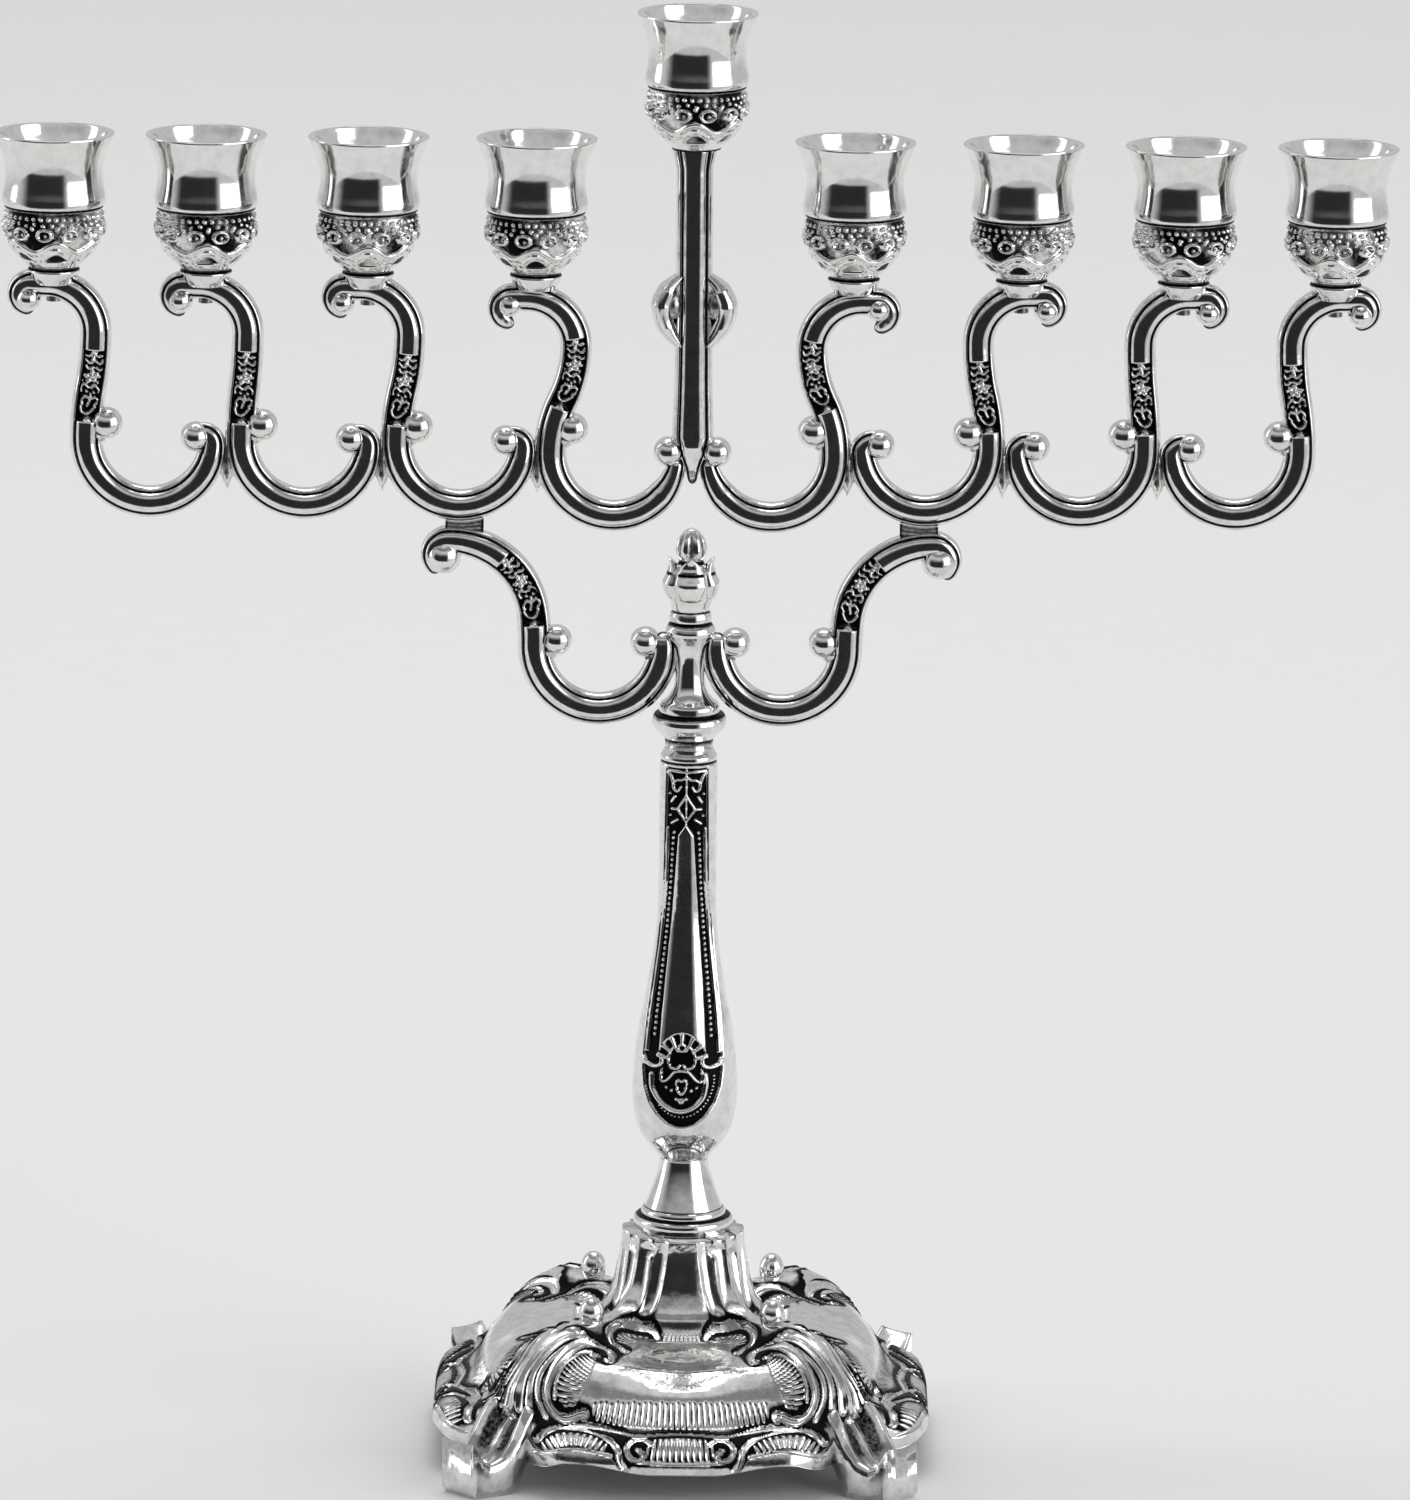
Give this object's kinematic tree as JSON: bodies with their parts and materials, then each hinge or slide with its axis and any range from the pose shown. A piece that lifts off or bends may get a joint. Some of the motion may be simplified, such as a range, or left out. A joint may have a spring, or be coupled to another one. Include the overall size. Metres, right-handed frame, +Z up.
{
  "type": "menorah candle holder",
  "caption": "Footed baluster stem with a row of scrolled branches, each ending in a flared candle cup, and a raised centre cup for the servant candle.",
  "frame": {"origin": "on the floor under the stem's axis, at the middle of the four feet", "axes": "+Z up along the stem, +X along the gallery to the viewer's right, -Y to the front"},
  "size_m": [0.286, 0.1026, 0.3],
  "materials": {
    "silver_plate": "polished",
    "fastener_steel": "machined"
  },
  "bodies": {
    "stand": {"base_casting": "silver_plate", "base_washer": "fastener_steel", "base_nut": "fastener_steel", "tie_rod": "fastener_steel", "stem_foot": "silver_plate", "baluster": "silver_plate", "stem_bowl": "silver_plate", "finial": "silver_plate"},
    "arms": {"hub": "silver_plate", "lower_arm_left": "silver_plate", "lower_arm_right": "silver_plate", "saddle_left": "silver_plate", "saddle_right": "silver_plate", "branch_1": "silver_plate", "branch_2": "silver_plate", "branch_3": "silver_plate", "branch_4": "silver_plate", "branch_5": "silver_plate", "branch_6": "silver_plate", "branch_7": "silver_plate", "branch_8": "silver_plate", "shamash_stem": "silver_plate"},
    "candle_cup_1": {"cup_1": "silver_plate", "cup_stud_1": "fastener_steel"},
    "candle_cup_2": {"cup_2": "silver_plate", "cup_stud_2": "fastener_steel"},
    "candle_cup_3": {"cup_3": "silver_plate", "cup_stud_3": "fastener_steel"},
    "candle_cup_4": {"cup_4": "silver_plate", "cup_stud_4": "fastener_steel"},
    "candle_cup_5": {"cup_5": "silver_plate", "cup_stud_5": "fastener_steel"},
    "candle_cup_6": {"cup_6": "silver_plate", "cup_stud_6": "fastener_steel"},
    "candle_cup_7": {"cup_7": "silver_plate", "cup_stud_7": "fastener_steel"},
    "candle_cup_8": {"cup_8": "silver_plate", "cup_stud_8": "fastener_steel"},
    "candle_cup_9": {"cup_9": "silver_plate", "cup_stud_9": "fastener_steel"}
  },
  "joints": [
    {"name": "arms_swivel", "type": "hinge", "parent": "stand", "child": "arms", "pos_m": [0, 0, 0.1641], "axis": [0, 0, 1], "range_deg": [-90, 90]},
    {"name": "cup_turn_1", "type": "hinge", "parent": "arms", "child": "candle_cup_1", "pos_m": [-0.1306, 0, 0.2445], "axis": [0, 0, 1], "range_deg": [0, 90]},
    {"name": "cup_turn_2", "type": "hinge", "parent": "arms", "child": "candle_cup_2", "pos_m": [-0.0996, 0, 0.2445], "axis": [0, 0, 1], "range_deg": [0, 90]},
    {"name": "cup_turn_3", "type": "hinge", "parent": "arms", "child": "candle_cup_3", "pos_m": [-0.0666, 0, 0.2445], "axis": [0, 0, 1], "range_deg": [0, 90]},
    {"name": "cup_turn_4", "type": "hinge", "parent": "arms", "child": "candle_cup_4", "pos_m": [-0.0324, 0, 0.2445], "axis": [0, 0, 1], "range_deg": [0, 90]},
    {"name": "cup_turn_5", "type": "hinge", "parent": "arms", "child": "candle_cup_5", "pos_m": [0, 0, 0.2707], "axis": [0, 0, 1], "range_deg": [0, 90]},
    {"name": "cup_turn_6", "type": "hinge", "parent": "arms", "child": "candle_cup_6", "pos_m": [0.0324, 0, 0.2445], "axis": [0, 0, 1], "range_deg": [0, 90]},
    {"name": "cup_turn_7", "type": "hinge", "parent": "arms", "child": "candle_cup_7", "pos_m": [0.0666, 0, 0.2445], "axis": [0, 0, 1], "range_deg": [0, 90]},
    {"name": "cup_turn_8", "type": "hinge", "parent": "arms", "child": "candle_cup_8", "pos_m": [0.0996, 0, 0.2445], "axis": [0, 0, 1], "range_deg": [0, 90]},
    {"name": "cup_turn_9", "type": "hinge", "parent": "arms", "child": "candle_cup_9", "pos_m": [0.1306, 0, 0.2445], "axis": [0, 0, 1], "range_deg": [0, 90]}
  ]
}
